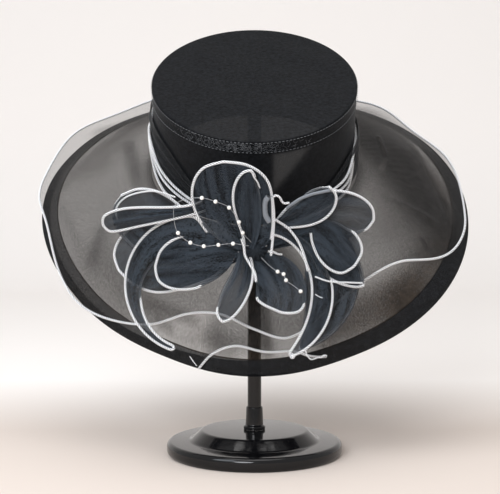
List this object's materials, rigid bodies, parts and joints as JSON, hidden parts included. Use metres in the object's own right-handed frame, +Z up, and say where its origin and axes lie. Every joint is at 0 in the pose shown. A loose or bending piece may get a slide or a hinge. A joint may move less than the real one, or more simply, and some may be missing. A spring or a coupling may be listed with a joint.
{
  "type": "summer hat on display stand",
  "caption": "Wide-brimmed sheer black organza summer hat with a drum crown, corded flounce and looped bow with pearls, tilted forward on a round display stand.",
  "frame": {"origin": "middle of the stand's flat underside, on the surface that it stands on", "axes": "+Z up, the front of the hat and the bow look along -Y, +X to the right as seen from the front"},
  "size_m": [0.4102, 0.3693, 0.3881],
  "materials": {
    "crown_cloth": "matte black organza laid double over a stiff form",
    "brim_organza": "sheer black organza, fine open weave",
    "brim_edge_cloth": "black organza folded over the brim wire",
    "flounce_organza": "single layer of sheer black organza",
    "hat_band_organza": "folded sheer black organza",
    "bow_organza": "crisp sheer black organza",
    "white_cord": "twisted white cord",
    "pearl": "pearl lustre",
    "stand_plastic": "polished black"
  },
  "bodies": {
    "root": {"stand_base": "stand_plastic", "stand_sleeve": "stand_plastic", "stand_post": "stand_plastic", "crown_side": "crown_cloth", "crown_tip": "crown_cloth", "brim": "brim_organza", "brim_edge_band": "brim_edge_cloth", "flounce": "flounce_organza", "flounce_cord": "white_cord", "under_flounce": "flounce_organza", "under_flounce_cord": "white_cord", "hat_band": "hat_band_organza", "hat_band_cord_low": "white_cord", "hat_band_cord_middle": "white_cord", "hat_band_cord_high": "white_cord", "bow_knot": "bow_organza", "bow_tail_right_back": "bow_organza", "bow_tail_right_back_cord": "white_cord", "bow_loop_left_low_back": "bow_organza", "bow_loop_left_low_back_cord": "white_cord", "bow_tail_left": "bow_organza", "bow_tail_left_cord": "white_cord", "bow_tail_centre": "bow_organza", "bow_tail_centre_cord": "white_cord", "bow_loop_left_high": "bow_organza", "bow_loop_left_high_cord": "white_cord", "bow_tail_right": "bow_organza", "bow_tail_right_cord": "white_cord", "bow_loop_right_high_back": "bow_organza", "bow_loop_right_high_back_cord": "white_cord", "bow_loop_left_low": "bow_organza", "bow_loop_left_low_cord": "white_cord", "bow_loop_right_low": "bow_organza", "bow_loop_right_low_cord": "white_cord", "bow_loop_left_narrow": "bow_organza", "bow_loop_left_narrow_cord": "white_cord", "bow_loop_right_middle": "bow_organza", "bow_loop_right_middle_cord": "white_cord", "bow_loop_centre_low": "bow_organza", "bow_loop_centre_low_cord": "white_cord", "bow_loop_right_high": "bow_organza", "bow_loop_right_high_cord": "white_cord", "bow_loop_top": "bow_organza", "bow_loop_top_cord": "white_cord", "bow_loop_centre_high": "bow_organza", "bow_loop_centre_high_cord": "white_cord", "bead_stem_left": "pearl", "bead_stem_right": "pearl"}
  },
  "joints": []
}
